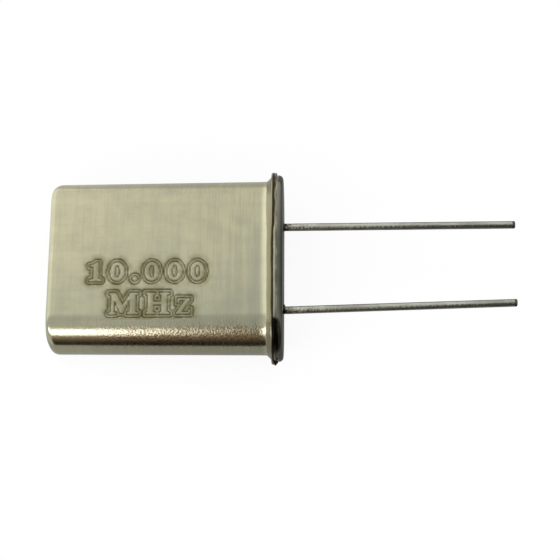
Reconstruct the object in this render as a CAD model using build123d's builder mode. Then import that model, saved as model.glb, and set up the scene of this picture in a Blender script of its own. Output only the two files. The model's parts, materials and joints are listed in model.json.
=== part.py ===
"""Quartz crystal resonator: a welded obround metal can on a base with two wire leads.

Sizes are in millimetres. The part lies on its broad side, as it comes to rest: its flange is
thicker than the can, so it leans on the flange's lower edge and on the closed end.
+X runs along the leads, +Y across the can towards the rear lead, +Z up.
The origin is on the floor, under the middle of the part's length.
"""
from build123d import *
import os
from math import asin, atan2, cos, hypot, radians, sin, sqrt, tan

# Can: an obround cup drawn from sheet, flared at its mouth into a flange
can_width = 10.2
can_thickness = 3.7
can_height = 13.17
can_wall = 0.2
can_draft_angle = 0.5
closed_end_radius = 0.68
flange_overhang = 0.5
can_flange_thickness = 0.12
flare_reach = 0.25

# Base: a coined plate whose flange is welded to the can's flange
base_body_height = 0.36
base_flange_thickness = 0.18
base_inset = 0.14
base_edge_radius = 0.26
base_step_height = 0.35
base_step_clearance = 0.1

# Bevel on the edges of both flanges, as a share of the thinner one
flange_bevel_share = 0.4

# Leads: straight through the glass, then leaning a little, the front one towards the rear
# and the rear one partly down, which a turn about its own axis gives
lead_pitch = 4.88
lead_diameter = 0.43
front_lead_length = 13.07
rear_lead_length = 13.15
lead_stub = 0.25
lead_bend_radius = 4.0
lead_lean_angle = 1.2
front_lead_turn_angle = 0.0
rear_lead_turn_angle = -56.0
lead_tip_chamfer = 0.05
post_height = 1.9

# Glass beads that seal the leads in the base, each with a meniscus along the lead outside
bead_diameter = 1.5
meniscus_diameter = 0.66
meniscus_height = 0.1

# Quartz blank that clears the can's mouth on both sides, with a keyhole electrode on each face
blank_clearance = 0.9
blank_thickness = 0.166
blank_height = 6.85
electrode_diameter = 4.6
electrode_thickness = 0.01
electrode_margin = 0.05
tab_width = 1.1

# Clips: ribbons that stand on the leads' inner ends and hold the blank's edge in a slot
clip_width = 1.2
clip_thickness = 0.12
clip_foot_overlap = 0.4
clip_bend_radius = 0.35
clip_head = 0.6
clip_engagement = 0.2
slot_clearance = 0.03

# Drops of conductive cement over the blank's edge, on the outer side of each clip
cement_diameter = 1.0
cement_height = 0.32

# Cuts run past the faces that they open by this much
overrun = 1.0

# Levels above the seat face, towards the closed end
seam_height = base_body_height + base_flange_thickness
flare_height = seam_height + can_flange_thickness
step_top_height = seam_height + base_step_height

# Outlines that follow the can's
flange_width = can_width + 2 * flange_overhang
flange_thickness = can_thickness + 2 * flange_overhang
base_body_width = flange_width - 2 * base_inset
base_body_thickness = flange_thickness - 2 * base_inset
mouth_width = can_width - 2 * can_wall
mouth_thickness = can_thickness - 2 * can_wall
mouth_bevel = flare_reach
base_step_width = mouth_width - 2 * base_step_clearance
base_step_thickness = mouth_thickness - 2 * base_step_clearance
thinner_flange = min(can_flange_thickness, base_flange_thickness)
flange_bevel = flange_bevel_share * thinner_flange
blank_diameter = mouth_width - 2 * blank_clearance

# The can touches the floor with two edges, seen here in the plane of its thickness:
# the closed end's round lower edge and the corner of the flange's rim
wall_slope = radians(can_draft_angle)
end_edge_height = can_height - closed_end_radius
end_half_thickness = can_thickness / 2 - (end_edge_height - seam_height) * tan(wall_slope)
end_edge_drop = end_half_thickness - closed_end_radius / cos(wall_slope)
rim_edge_height = flare_height - flange_bevel
rim_edge_drop = flange_thickness / 2

# Lean of the can's axis that brings both edges down to the floor, and the seat's place above it
edge_run = end_edge_height - rim_edge_height
edge_fall = end_edge_drop - rim_edge_drop
rest_tilt = -asin(closed_end_radius / hypot(edge_run, edge_fall)) - atan2(edge_fall, edge_run)
seat_rise = end_edge_height * sin(rest_tilt) + end_edge_drop * cos(rest_tilt) + closed_end_radius
seat_shift = (can_height - max(front_lead_length, rear_lead_length)) / 2 * cos(rest_tilt)

# The seat face's plane: its x runs across the can, its y up through the can's thickness,
# and its normal along the leads
seat = Plane(
    origin=(seat_shift, 0, seat_rise),
    x_dir=(0, 1, 0),
    z_dir=(cos(rest_tilt), 0, sin(rest_tilt)),
)
along_leads = Axis(seat.origin, seat.z_dir)
sides = {"front": -1, "rear": 1}
lead_lengths = {"front": front_lead_length, "rear": rear_lead_length}
lead_turn_angles = {"front": front_lead_turn_angle, "rear": rear_lead_turn_angle}


def level(height):
    """Plane parallel to the seat face, this far above it towards the closed end."""
    return seat.offset(-height)


def side_plane(across, side=1):
    """Plane of the can's width and height, its x outwards on one side, its y up the can."""
    return Plane(
        origin=seat.from_local_coords((across, 0, 0)),
        x_dir=seat.x_dir * side,
        z_dir=seat.y_dir * side,
    )


def drawn_cup(width, thickness, height, end_radius):
    """Obround cup shape from the seam to a rounded end at a height, narrowing by the can's draft."""
    with BuildPart() as cup:
        with BuildSketch(level(seam_height)):
            SlotOverall(width, thickness)
        extrude(amount=seam_height - height)
        walls = cup.faces() - cup.faces().filter_by(seat)
        draft(walls, neutral_plane=level(seam_height), angle=-can_draft_angle)
        fillet(cup.faces().sort_by(along_leads)[0].edges(), end_radius)
    return cup.part


os.makedirs("parts", exist_ok=True)

# Can
with BuildPart() as can:
    add(drawn_cup(can_width, can_thickness, can_height, closed_end_radius))
    with BuildSketch(level(seam_height)):
        SlotOverall(flange_width, flange_thickness)
    extrude(amount=-can_flange_thickness)
    flange_back = can.faces().filter_by(seat).sort_by(along_leads)[-2]
    chamfer(flange_back.inner_wires()[0].edges(), flare_reach)
    flange_back = can.faces().filter_by(seat).sort_by(along_leads)[-2]
    seam_face = can.faces().sort_by(along_leads)[-1]
    chamfer(flange_back.outer_wire().edges() + seam_face.edges(), flange_bevel)
    cavity_height = can_height - can_wall
    cavity = drawn_cup(mouth_width, mouth_thickness, cavity_height, closed_end_radius - can_wall)
    add(cavity, mode=Mode.SUBTRACT)
    chamfer(can.faces().sort_by(along_leads)[-1].inner_wires()[0].edges(), mouth_bevel)
can.part.label = "can"
export_step(can.part, "parts/can.step")

# Base
with BuildPart() as base:
    with BuildSketch(seat):
        SlotOverall(base_body_width, base_body_thickness)
    extrude(amount=-base_body_height)
    fillet(base.faces().sort_by(along_leads)[-1].edges(), base_edge_radius)
    with BuildSketch(level(base_body_height)):
        SlotOverall(flange_width, flange_thickness)
    extrude(amount=-base_flange_thickness)
    seam_face = base.faces().sort_by(along_leads)[0]
    under_flange = base.faces().filter_by(seat).sort_by(along_leads)[-2]
    chamfer(seam_face.edges() + under_flange.outer_wire().edges(), flange_bevel)
    with BuildSketch(level(seam_height)):
        SlotOverall(base_step_width, base_step_thickness)
    extrude(amount=-base_step_height)
    with BuildSketch(level(-overrun)):
        with GridLocations(lead_pitch, 0, 2, 1):
            Circle(bead_diameter / 2)
    extrude(amount=-step_top_height - 2 * overrun, mode=Mode.SUBTRACT)
base.part.label = "base"
export_step(base.part, "parts/base.step")

# Leads, swept along a path with one slight bend below the seat
for side_name, side in sides.items():
    straight_run = lead_lengths[side_name] - lead_stub - lead_bend_radius * radians(lead_lean_angle)
    lead_plane = side_plane(side * lead_pitch / 2)
    with BuildPart() as lead:
        with BuildLine(lead_plane) as lead_path:
            post = Line((0, post_height), (0, -lead_stub))
            bend = JernArc(post @ 1, post % 1, lead_bend_radius, lead_lean_angle)
            PolarLine(bend @ 1, straight_run, direction=bend % 1)
        with BuildSketch(Plane(lead_path.line @ 0, z_dir=lead_path.line % 0)):
            Circle(lead_diameter / 2)
        sweep(path=lead_path.line)
        chamfer(lead.edges().sort_by(along_leads)[-1], lead_tip_chamfer)
    turned_lead = lead.part.rotate(Axis(lead_plane.origin, seat.z_dir), lead_turn_angles[side_name])
    turned_lead.label = f"lead_{side_name}"
    export_step(turned_lead, f"parts/lead_{side_name}.step")

# Glass beads
for side_name, side in sides.items():
    bead_plane = side_plane(side * lead_pitch / 2)
    with BuildPart() as bead:
        with BuildSketch(bead_plane):
            with BuildLine():
                meniscus_top = (lead_diameter / 2, -meniscus_height)
                meniscus_edge = (meniscus_diameter / 2, 0)
                Polyline(
                    meniscus_top,
                    (lead_diameter / 2, step_top_height),
                    (bead_diameter / 2, step_top_height),
                    (bead_diameter / 2, 0),
                    meniscus_edge,
                )
                RadiusArc(meniscus_edge, meniscus_top, -meniscus_diameter / 2)
            make_face()
        revolve(axis=Axis(bead_plane.origin, seat.z_dir))
    bead.part.label = f"glass_bead_{side_name}"
    export_step(bead.part, f"parts/glass_bead_{side_name}.step")

# Quartz blank, parallel to the can's broad faces
blank_plane = Plane(origin=level(blank_height).origin, x_dir=seat.x_dir, z_dir=seat.y_dir)
with BuildPart() as quartz_blank:
    with BuildSketch(blank_plane):
        Circle(blank_diameter / 2)
    extrude(amount=blank_thickness / 2, both=True)
quartz_blank.part.label = "quartz_blank"
export_step(quartz_blank.part, "parts/quartz_blank.step")

# Electrodes: a round spot with a tab that runs to one clip, the upper one to the rear
electrodes = []
for face_name, face_side, side in (("upper", 1, sides["rear"]), ("lower", -1, sides["front"])):
    with BuildPart() as electrode:
        with BuildSketch(blank_plane.offset(face_side * blank_thickness / 2)):
            Circle(electrode_diameter / 2)
            Rectangle(blank_diameter / 2, tab_width, align=(Align.MIN, Align.CENTER), rotation=90 - 90 * side)
            Circle(blank_diameter / 2 - electrode_margin, mode=Mode.INTERSECT)
        extrude(amount=face_side * electrode_thickness)
    electrode.part.label = f"electrode_{face_name}"
    export_step(electrode.part, f"parts/electrode_{face_name}.step")
    electrodes.append(electrode.part)

# Clips
clip_inner = blank_diameter / 2 - clip_engagement
clip_middle = clip_inner + clip_thickness / 2
clip_outer = clip_inner + clip_thickness
foot_middle_height = post_height + clip_thickness / 2
foot_start = lead_pitch / 2 - clip_foot_overlap
slot_length = 2 * (sqrt((blank_diameter / 2) ** 2 - clip_inner**2) + slot_clearance)
slot_width = blank_thickness + 2 * (electrode_thickness + slot_clearance)
clip_top_height = blank_height + slot_length / 2 + clip_head
for side_name, side in sides.items():
    with BuildPart() as clip:
        with BuildSketch(side_plane(0, side)):
            with BuildLine():
                FilletPolyline(
                    (foot_start, foot_middle_height),
                    (clip_middle, foot_middle_height),
                    (clip_middle, clip_top_height),
                    radius=clip_bend_radius,
                )
            trace(line_width=clip_thickness)
        extrude(amount=clip_width / 2, both=True)
        slot_origin = seat.from_local_coords((side * clip_middle, 0, -blank_height))
        with BuildSketch(Plane(slot_origin, x_dir=seat.z_dir, z_dir=seat.x_dir)):
            Rectangle(slot_length, slot_width)
        extrude(amount=clip_thickness / 2 + overrun, both=True, mode=Mode.SUBTRACT)
    clip.part.label = f"clip_{side_name}"
    export_step(clip.part, f"parts/clip_{side_name}.step")

# Cement drops: domes on the clips' outer faces, with the blank's edge and its electrodes let in
cement_sphere_radius = ((cement_diameter / 2) ** 2 + cement_height**2) / (2 * cement_height)
for side_name, side in sides.items():
    with BuildPart() as cement:
        with BuildSketch(side_plane(0, side)):
            with BuildLine():
                dome_rim = (clip_outer, blank_height + cement_diameter / 2)
                dome_top = (clip_outer + cement_height, blank_height)
                RadiusArc(dome_rim, dome_top, cement_sphere_radius)
                Polyline(dome_top, (clip_outer, blank_height), dome_rim)
            make_face()
        revolve(axis=Axis(blank_plane.origin, blank_plane.x_dir))
        add(quartz_blank.part, mode=Mode.SUBTRACT)
        add(electrodes, mode=Mode.SUBTRACT)
    cement.part.label = f"cement_{side_name}"
    export_step(cement.part, f"parts/cement_{side_name}.step")
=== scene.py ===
"""Dresses the crystal resonator's frame: the drawn can with its engraved frequency, the welded base,
the tinned leads in their glass seals, the finishes of the parts inside, and the stage.

Pieces are modelled in millimetres round the seat face, whose frame has +X along the leads, +Y across
the can and +Z up through its thickness. Each is then set in its place in the row frame, in metres.
"""

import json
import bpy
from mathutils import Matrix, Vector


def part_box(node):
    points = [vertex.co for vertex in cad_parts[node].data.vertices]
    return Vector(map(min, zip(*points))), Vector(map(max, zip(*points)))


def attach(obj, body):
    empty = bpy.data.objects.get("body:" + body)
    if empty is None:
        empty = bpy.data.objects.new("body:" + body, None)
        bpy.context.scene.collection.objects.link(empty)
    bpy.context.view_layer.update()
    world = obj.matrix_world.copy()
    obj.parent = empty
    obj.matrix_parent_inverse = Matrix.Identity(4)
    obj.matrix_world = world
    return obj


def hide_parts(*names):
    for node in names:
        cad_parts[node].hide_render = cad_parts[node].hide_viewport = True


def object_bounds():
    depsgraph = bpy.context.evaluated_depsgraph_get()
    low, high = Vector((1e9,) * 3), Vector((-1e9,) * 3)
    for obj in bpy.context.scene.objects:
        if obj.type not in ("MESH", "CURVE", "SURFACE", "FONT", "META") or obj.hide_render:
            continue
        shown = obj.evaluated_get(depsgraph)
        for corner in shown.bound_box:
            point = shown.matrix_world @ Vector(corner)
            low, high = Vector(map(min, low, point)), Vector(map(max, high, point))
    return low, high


bl_info = {
    "name": "Crystal Resonator Dressing",
    "version": (1, 0, 0),
    "blender": (4, 5, 0),
    "location": "3D View > Sidebar > Crystal",
    "description": "Models and finishes a leaded quartz crystal over its CAD frame",
    "category": "Object",
}

from math import cos, pi, radians, sin, tan

import bmesh
import bpy
import numpy as np
from bpy.props import FloatProperty, FloatVectorProperty, IntProperty, PointerProperty, StringProperty
from mathutils import Euler, Matrix, Vector

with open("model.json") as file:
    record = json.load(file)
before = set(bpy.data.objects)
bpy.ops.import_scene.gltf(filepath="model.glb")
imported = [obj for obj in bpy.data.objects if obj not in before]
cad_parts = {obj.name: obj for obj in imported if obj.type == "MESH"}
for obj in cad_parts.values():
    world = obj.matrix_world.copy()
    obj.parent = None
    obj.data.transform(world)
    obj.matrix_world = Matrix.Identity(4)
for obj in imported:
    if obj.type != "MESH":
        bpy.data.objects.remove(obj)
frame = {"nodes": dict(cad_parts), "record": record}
cad_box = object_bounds()

MM = 0.001
SIDES = {"front": -1, "rear": 1}
mounts = {mount["name"]: mount for mount in frame["record"]["mounts"]}

# The seat face's frame, from its mount
along_leads = Vector(mounts["seat_face"]["axis"]).normalized()
across = Vector((0, 1, 0))
seat_turn = Matrix((along_leads, across, along_leads.cross(across))).transposed()
seat_place = Matrix.Translation(mounts["seat_face"]["pos_m"]) @ seat_turn.to_4x4()
lead_pitch = abs(sum(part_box("glass_bead_rear")[i][1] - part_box("glass_bead_front")[i][1] for i in (0, 1))) / 2
half_pitch = lead_pitch / MM / 2  # in millimetres


def length(name, default, description):
    return FloatProperty(name=name, description=description, default=default, min=0, unit="LENGTH",
                         precision=6)


def angle(name, default, description):
    return FloatProperty(name=name, description=description, default=radians(default), subtype="ANGLE")


def position(name, default, description):
    return FloatVectorProperty(name=name, description=description, default=default, size=len(default),
                               unit="LENGTH", precision=6)


def colour(name, default, description):
    return FloatVectorProperty(name=name, description=description, default=default, size=3, min=0, max=1,
                               subtype="COLOR")


# Sizes and colours that a user would change


class CanSizes(bpy.types.PropertyGroup):
    width: length("Width", 0.0102, "Can's width over its round sides, at the seam")
    thickness: length("Thickness", 0.0037, "Can's thickness over its broad faces, at the seam")
    height: length("Height", 0.0131, "From the seat face to the closed end")
    wall: length("Wall", 0.0002, "Thickness of the drawn sheet")
    draft: angle("Draft", 0.5, "Lean of the walls")
    end_radius: length("End radius", 0.00068, "Closed end's round edge at the round sides")
    face_edge_radius: length("Face edge radius", 0.00031, "Closed end's round edge along the broad faces")
    seam_height: length("Seam height", 0.00054, "From the seat face to the weld between the two flanges")
    flange_overhang: length("Flange overhang", 0.0005, "How far both flanges stand out from the can")
    flange_thickness: length("Flange thickness", 0.00012, "Thickness of the can's flange")
    flare_reach: length("Flare reach", 0.00025, "Size of the cone between the can's wall and its flange")
    flare_ease: length("Flare ease", 0.0004, "Run of the soft bend that leads the wall into the flare")
    ease_angle: angle("Ease angle", 16, "Lean of the wall at the end of the soft bend")
    side_tightness: FloatProperty(name="Side tightness", default=1.0, min=0, max=1,
                                  description="Share of the soft bend missing at the round sides")
    crease_radius: length("Crease radius", 0.00004, "Bend on both sides of the flare")
    rim_radius: length("Rim radius", 0.00005, "Round edge of the flanges' rims")
    round_steps: IntProperty(name="Round steps", description="Facets in each round side", default=64, min=16)


class BaseSizes(bpy.types.PropertyGroup):
    body_height: length("Body height", 0.00036, "Height of the coined body under the flange")
    inset: length("Inset", 0.00014, "How far the body stands back from the flange's rim")
    edge_radius: length("Edge radius", 0.00026, "Round edge of the seat face")
    step_height: length("Step height", 0.00035, "Height of the step inside the can")
    step_clearance: length("Step clearance", 0.0001, "Gap between the step and the can's mouth")
    bead_diameter: length("Bead diameter", 0.0015, "Glass bead round each lead")
    meniscus_diameter: length("Meniscus diameter", 0.00066, "Foot of the glass that climbs the lead")
    meniscus_height: length("Meniscus height", 0.0001, "How far the glass climbs the lead")


class LeadSizes(bpy.types.PropertyGroup):
    post_height: length("Post height", 0.0019, "Inner end of the leads above the seat face")
    stub: length("Stub", 0.00025, "Straight wire below the seat face, before the bend")
    tip_chamfer: length("Tip chamfer", 0.00005, "Worn edge of the sheared tip")
    sheared_run: length("Sheared run", 0.00011, "Bare wire beside the chamfer")
    front_aside: length("Front aside", 0.0001, "Front lead from the middle of its seal")


class MarkingSizes(bpy.types.PropertyGroup):
    number: StringProperty(name="Number", default="10.000",
                           description="Upper line, drawn with 0, 1 and a point")
    unit: StringProperty(name="Unit", default="MHz", description="Lower line, drawn with H, M and z")
    number_height: length("Number height", 0.00118, "Height of the digits")
    unit_height: length("Unit height", 0.00132, "Height of the unit's capitals")
    number_start: position("Number start", (-0.01074, -0.00142), "Foot of the first digit on the face")
    unit_start: position("Unit start", (-0.00961, -0.00337), "Foot of the unit on the face")
    line_offset: length("Line offset", 0.000155, "From a letter's own outline to the second line round it")
    line_width: length("Line width", 0.000085, "Width of the engraved lines")
    line_depth: length("Line depth", 0.00002, "Depth of the engraved lines")
    line_wobble: length("Line wobble", 0.00001, "How far the engraved lines stray to and fro")
    halo_reach: length("Halo reach", 0.0004, "How far the dull halo runs out from the letters")
    cell: length("Cell", 0.0000205, "Size of the fine facets that carry the engraving")


class Finishes(bpy.types.PropertyGroup):
    can_warm: colour("Can warm", (0.608, 0.572, 0.374), "Warm satin nickel of the can")
    # Also the colour of painted shade: the upper face turns towards it at its front edge and towards the flange.
    can_grey_and_painted_shade: colour("Can cool", (0.458, 0.452, 0.312), "Greyer patches of the can")
    # Painted highlight: a lighter band where the wall bends into the flare, standing in for the bend's
    # reflection.
    can_painted_bend_highlight: colour("Can bright", (0.76, 0.72, 0.50), "Rubbed bend where the can's wall meets its flare")
    can_lines: colour("Can lines", (0.38, 0.37, 0.27), "Faint drawn lines across the can")
    can_worn: colour("Can worn", (0.36, 0.37, 0.28), "Rubbed and stained patches of the can")
    # Partly painted reflection: grain whose brown stands in for the brown the highlight fades into.
    can_specks_and_painted_reflection: colour("Can specks", (0.25, 0.18, 0.105), "Brown grain of the front round side")
    # Painted shade: a darker run on the rear half of the face just above the bend, beside the painted highlight.
    can_painted_shade_before_bend: colour("Can dull", (0.36, 0.38, 0.28), "Dull run above the bend into the flare")
    can_flange: colour("Can flange", (0.32, 0.30, 0.195), "Heat tint of the can's flange beside the weld")
    engraved: colour("Engraved line", (0.055, 0.047, 0.012), "Bottom of the engraved lines")
    halo: colour("Halo", (0.225, 0.206, 0.098), "Dull metal round the letters")
    base_rim: colour("Base rim", (0.55, 0.52, 0.38), "Rim of the base's flange")
    base_body: colour("Base body", (0.155, 0.16, 0.125), "Tarnished body of the base")
    base_dark: colour("Base dark", (0.09, 0.09, 0.07), "Darkest tarnish of the base's body")
    base_bright: colour("Base bright", (0.26, 0.255, 0.21), "Cleaner far end of the base's body")
    weld: colour("Weld", (0.06, 0.048, 0.018), "Burnt metal of the weld")
    weld_end: colour("Weld end", (0.012, 0.011, 0.008), "Black scale where the weld ended")
    tin: colour("Tin", (0.63, 0.635, 0.55), "Tinned wire")
    tin_dull: colour("Dull tin", (0.40, 0.40, 0.33), "Dull streaks of the wire")
    root: colour("Lead root", (0.025, 0.022, 0.016), "Dark scale on the leads beside the glass")
    sheared: colour("Sheared steel", (0.06, 0.058, 0.052), "Cut tips of the leads")


class StageSizes(bpy.types.PropertyGroup):
    camera_place: position("Camera place", (0.0025513, -0.035476, 0.0964384), "Camera in the seat's frame")
    camera_turn: FloatVectorProperty(name="Camera turn", description="Camera's turn in the seat's frame",
                                     default=(0.3457, 0.0272, 0.0035), size=3, subtype="EULER", precision=5)
    camera_lens: FloatProperty(name="Lens", default=117.11, unit="CAMERA",
                               description="Focal length on a 36 mm sensor")
    floor_front: length("Floor front", 0.0078, "White floor in front of the part")
    floor_back: length("Floor back", 0.12, "White floor behind and beside the part")
    key_radiance: FloatProperty(name="Key", default=3.95, min=0,
                                description="Brightness of the soft box against white")
    key_distance: length("Key distance", 0.05, "Soft box from the part")


GROUPS = {
    "crystal_can": CanSizes,
    "crystal_base": BaseSizes,
    "crystal_leads": LeadSizes,
    "crystal_marking": MarkingSizes,
    "crystal_finishes": Finishes,
    "crystal_stage": StageSizes,
}


class Millimetres:
    """The lengths of a property group in millimetres, and its other values as they are."""

    def __init__(self, group):
        for key, field in group.bl_rna.properties.items():
            value = getattr(group, key)
            if field.type == "FLOAT" and field.unit == "LENGTH":
                value = [v / MM for v in value] if field.is_array else value / MM
            setattr(self, key, value)


def can_sizes(scene):
    """The can's sizes in millimetres, with those that follow from them."""
    can = Millimetres(scene.crystal_can)
    can.radius = can.thickness / 2
    can.spread = (can.width - can.thickness) / 2
    can.flange_radius = can.radius + can.flange_overhang
    can.flange_top = can.seam_height + can.flange_thickness
    return can


# Modelling helpers

# Share of a flat that each narrow column beside a round side takes
EDGE_SHARE = 0.03
# Facets in the bends of the profiles
FACETS = {"end": 14, "ease": 8, "crease": 4, "rim": 5, "body": 10}


def make_active(piece):
    """Selects one piece only."""
    bpy.ops.object.select_all(action="DESELECT")
    piece.select_set(True)
    bpy.context.view_layer.objects.active = piece


def add_primitive(name, operator, **options):
    """Adds one primitive with nothing else selected, and names it."""
    if bpy.context.object and bpy.context.object.mode != "OBJECT":
        bpy.ops.object.mode_set(mode="OBJECT")
    bpy.ops.object.select_all(action="DESELECT")
    operator(**options)
    piece = bpy.context.object
    piece.name = name
    piece.data.name = name
    return piece


def edit_mesh(piece):
    """Opens a piece's mesh in edit mode with nothing selected."""
    make_active(piece)
    bpy.ops.object.mode_set(mode="EDIT")
    bpy.ops.mesh.select_all(action="DESELECT")
    return bmesh.from_edit_mesh(piece.data)


def select_only(piece, kind, test):
    """Selects, in edit mode, the vertices, edges or faces that pass a test, and returns how many."""
    bpy.ops.mesh.select_all(action="DESELECT")
    bpy.ops.mesh.select_mode(type={"verts": "VERT", "edges": "EDGE", "faces": "FACE"}[kind])
    mesh = bmesh.from_edit_mesh(piece.data)
    mesh.normal_update()
    chosen = [element for element in getattr(mesh, kind) if test(element)]
    for element in chosen:
        element.select_set(True)
    mesh.select_flush_mode()
    bmesh.update_edit_mesh(piece.data)
    return len(chosen)


def wire(name, points, closed):
    """Wire of a profile: a ring whose points are moved to (x, y, z), opened if it isn't closed."""
    piece = add_primitive(name, bpy.ops.mesh.primitive_circle_add, vertices=len(points), fill_type="NOTHING")
    mesh = edit_mesh(piece)
    mesh.verts.ensure_lookup_table()
    for vertex, point in zip(mesh.verts, points):
        vertex.co = point
    if not closed:
        ends = {mesh.verts[0], mesh.verts[-1]}
        for edge in mesh.edges:
            if set(edge.verts) == ends:
                edge.select_set(True)
        bmesh.update_edit_mesh(piece.data)
        bpy.ops.mesh.delete(type="EDGE")
    bpy.ops.mesh.select_all(action="SELECT")
    return piece


def spin(angle, steps, centre):
    """Sweeps what is selected about an axis along the leads."""
    bpy.ops.mesh.spin(steps=steps, angle=angle, center=centre, axis=(1, 0, 0))


def slide(*stops):
    """Extrudes what is selected across the can, by each distance in turn."""
    for stop in stops:
        bpy.ops.mesh.extrude_region_move(TRANSFORM_OT_translate={"value": (0, stop, 0)})


def close_up():
    """Merges what meets and turns the faces outwards."""
    bpy.ops.mesh.select_all(action="SELECT")
    bpy.ops.mesh.remove_doubles(threshold=0.0005)
    bpy.ops.mesh.dissolve_degenerate(threshold=0.0001)
    bpy.ops.mesh.select_all(action="SELECT")
    bpy.ops.mesh.normals_make_consistent(inside=False)


def obround(name, profile, spread, steps, top_stops=(), closed=False):
    """Sweeps a profile of (height, radius) round two half turns, a spread to each side, and their flats.

    top_stops are the places of the columns on the upper flat, from the front to the rear.
    """
    margin = EDGE_SHARE * spread
    points = [(-height, spread, radius) for height, radius in profile]
    piece = wire(name, points, closed)
    spin(pi, steps, (0, spread, 0))
    slide(-margin, 2 * (margin - spread), -margin)
    spin(pi, steps, (0, -spread, 0))
    stops = [-spread, *(top_stops or (margin - spread, spread - margin)), spread]
    slide(*[far - near for near, far in zip(stops, stops[1:])])
    close_up()
    bpy.ops.object.mode_set(mode="OBJECT")
    return piece


def lathe(name, profile, centre, steps, closed=True):
    """Turns a profile of (height, radius) about an axis along the leads."""
    piece = wire(name, [(-height, centre[1], centre[2] + radius) for height, radius in profile], closed)
    spin(2 * pi, steps, centre)
    close_up()
    bpy.ops.object.mode_set(mode="OBJECT")
    return piece


def bend(centre, radius, start, end, steps):
    """Points of an arc in a profile, with angles from the radius's direction towards the closed end."""
    angles = [start + (end - start) * step / steps for step in range(steps + 1)]
    return [(centre[0] + radius * sin(angle), centre[1] + radius * cos(angle)) for angle in angles]


def rounded_corner(before, corner, after, radius, steps):
    """Points that round a corner of a profile, as a bend whose tangent points lie on both sides of it."""
    corner = Vector(corner)
    back = (Vector(before) - corner).normalized()
    ahead = (Vector(after) - corner).normalized()
    setback = radius * tan((pi - back.angle(ahead)) / 2)
    start = corner + back * setback
    end = corner + ahead * setback
    points = []
    for step in range(steps + 1):
        share = step / steps
        points.append(tuple(start.lerp(corner, share).lerp(corner.lerp(end, share), share)))
    return points


def apply_modifier(piece, kind, **settings):
    """Adds a modifier with its settings and applies it."""
    make_active(piece)
    modifier = piece.modifiers.new(kind.title(), kind)
    for key, value in settings.items():
        setattr(modifier, key, value)
    bpy.ops.object.modifier_apply(modifier=modifier.name)


def set_in_place(piece, smooth_angle, node=None, materials=()):
    """Shades a piece, moves it from the seat's millimetres to the row frame, and hands it to the frame."""
    make_active(piece)
    bpy.ops.object.shade_smooth_by_angle(angle=radians(smooth_angle))
    piece.matrix_world = seat_place @ Matrix.Scale(MM, 4)
    bpy.ops.object.transform_apply(location=True, rotation=True, scale=True)
    for material in materials:
        piece.data.materials.append(material)
    if node:
        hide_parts(node)
    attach(piece, "root")


# Shading: short ways to add nodes, and the effects that several finishes share

FLOAT = "NodeSocketFloat"
VECTOR = "NodeSocketVector"


class Output:
    """A node's output, with short ways to add the nodes that work on it."""

    def __init__(self, socket):
        self.socket = socket
        self.tree = socket.id_data

    def __add__(self, other):
        return maths("ADD", self, other)

    def __sub__(self, other):
        return maths("SUBTRACT", self, other)

    def __mul__(self, other):
        return maths("MULTIPLY", self, other)

    def ramp(self, start, end, low=0.0, high=1.0):
        """Smooth step from low to high, while the value runs from start to end."""
        node = add_node(self.tree, "ShaderNodeMapRange", Value=self, From_Min=start, From_Max=end, To_Min=low,
                        To_Max=high)
        node.interpolation_type = "SMOOTHSTEP"
        return Output(node.outputs["Result"])

    def blend(self, first, second):
        """Mix of two colours by the value."""
        node = add_node(self.tree, "ShaderNodeMix")
        node.data_type = "RGBA"
        for socket, term in zip((node.inputs["Factor"], *node.inputs[6:8]), (self, first, second)):
            fill(socket, term)
        return Output(node.outputs[2])

    def split(self):
        """The three parts of a vector."""
        return all_outputs(add_node(self.tree, "ShaderNodeSeparateXYZ", Vector=self))


def all_outputs(node):
    return [Output(socket) for socket in node.outputs]


def fill(socket, term):
    """Links a value to an input, or sets the input's own number or colour."""
    if isinstance(term, Output):
        term.tree.links.new(term.socket, socket)
    elif socket.type == "RGBA":
        socket.default_value = (*term, 1)
    else:
        socket.default_value = term


def add_node(tree, kind, **inputs):
    """Adds a node and fills its inputs, by their names."""
    node = tree.nodes.new(kind)
    for key, term in inputs.items():
        fill(node.inputs[key.replace("_", " ")], term)
    return node


def maths(operation, *terms):
    tree = next(term.tree for term in terms if isinstance(term, Output))
    node = add_node(tree, "ShaderNodeMath")
    node.operation = operation
    for socket, term in zip(node.inputs, terms):
        fill(socket, term)
    return Output(node.outputs[0])


def coordinates(tree, kind):
    return Output(add_node(tree, "ShaderNodeTexCoord").outputs[kind])


def noise(tree, **inputs):
    return Output(add_node(tree, "ShaderNodeTexNoise", **inputs).outputs[0])


def light_paths(tree):
    """Masks of the rays that come from the eye, also through glass, and of those that come off metal."""
    path = add_node(tree, "ShaderNodeLightPath").outputs
    eye = maths("MAXIMUM", Output(path["Is Camera Ray"]), Output(path["Is Transmission Ray"]))
    return eye, Output(path["Is Glossy Ray"])


def effect_group(name, inputs, outputs):
    """Empty shader node group, the values of its inputs, and the sockets of its float outputs."""
    group = bpy.data.node_groups.new(name, "ShaderNodeTree")
    for label, kind in inputs.items():
        group.interface.new_socket(label, in_out="INPUT", socket_type=kind)
    for label in outputs:
        group.interface.new_socket(label, in_out="OUTPUT", socket_type=FLOAT)
    given = all_outputs(group.nodes.new("NodeGroupInput"))[:len(inputs)]
    return group, given, group.nodes.new("NodeGroupOutput").inputs


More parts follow.
